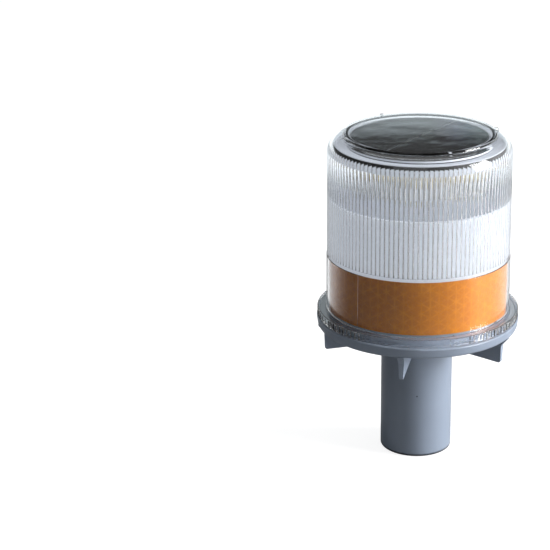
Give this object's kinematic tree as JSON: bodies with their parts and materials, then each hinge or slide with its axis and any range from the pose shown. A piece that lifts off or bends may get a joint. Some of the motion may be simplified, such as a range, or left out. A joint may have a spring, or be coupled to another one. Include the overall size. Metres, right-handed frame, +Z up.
{
  "type": "solar warning lamp",
  "caption": "Solar flashing warning lamp with a clear ribbed lens, an amber reflective band and a round stem that plugs into a traffic cone or post.",
  "frame": {"origin": "bottom centre of the stem, on the surface the lamp stands on", "axes": "+Z up along the stem's axis; -Y is the front, where one fin and the tape are in view"},
  "size_m": [0.1002, 0.1002, 0.1642],
  "materials": {
    "grey_housing": "satin moulded",
    "clear_lens": "polished clear plastic",
    "amber_tape": "prismatic reflective sheet",
    "gasket": "soft silicone",
    "white_plastic": "satin moulded",
    "black_plastic": "satin moulded",
    "bright_reflector": "vacuum metallised",
    "green_board": "solder mask",
    "white_board": "white solder mask",
    "led_resin": "clear amber-tinted resin",
    "screw_steel": "zinc plated",
    "spring_steel": "nickel plated",
    "tinned_copper": "tinned",
    "chip_epoxy": "moulded epoxy",
    "capacitor_sleeve": "shrink sleeve",
    "coil_core": "ferrite and enamel wire",
    "connector_nylon": "natural nylon",
    "cell_jacket": "film jacket over a steel can",
    "black_rubber": "nitrile",
    "foam_tape": "closed-cell foam",
    "panel_backing": "black laminate",
    "silicon": "coated silicon",
    "panel_resin": "clear cast resin",
    "button_plastic": "satin moulded",
    "red_wire": "vinyl insulation",
    "black_wire": "vinyl insulation",
    "white_wire": "vinyl insulation"
  },
  "bodies": {
    "base": {"base_housing": "grey_housing", "flange_gasket": "gasket", "inner_cup": "white_plastic", "cup_screws": "screw_steel", "control_board": "green_board", "board_screws": "screw_steel", "driver_chip": "chip_epoxy", "capacitor": "capacitor_sleeve", "inductor": "coil_core", "board_connectors": "connector_nylon", "led_board": "white_board", "leds": "led_resin", "led_tower": "white_plastic", "tower_screws": "screw_steel", "reflector": "bright_reflector", "panel_tray": "white_plastic", "tray_seal": "black_rubber", "tray_screws": "screw_steel", "panel_pad": "foam_tape", "panel_substrate": "panel_backing", "solar_cell_left": "silicon", "solar_cell_right": "silicon", "bus_ribbon": "tinned_copper", "panel_encapsulant": "panel_resin", "stem_cap": "black_plastic", "cap_seal": "black_rubber", "cap_screws": "screw_steel", "switch_body": "black_plastic", "battery_holder": "black_plastic", "battery_cells": "cell_jacket", "contact_springs": "spring_steel", "contact_strap": "spring_steel", "battery_lead_red": "red_wire", "battery_lead_black": "black_wire", "switch_leads": "white_wire", "led_leads": "white_wire", "panel_lead_red": "red_wire", "panel_lead_black": "black_wire"},
    "lens": {"lens_cover": "clear_lens", "reflective_tape": "amber_tape"},
    "button": {"power_button": "button_plastic"}
  },
  "joints": [
    {"name": "lens_twist", "type": "hinge", "parent": "base", "child": "lens", "pos_m": [0, 0, 0.0715], "axis": [0, 0, 1], "range_deg": [0, 25]},
    {"name": "button_press", "type": "slide", "parent": "base", "child": "button", "axis": [0, 0, 1], "range_m": [0, 0.0015], "stiffness_N_per_m": 300, "springref_m": -0.001}
  ]
}
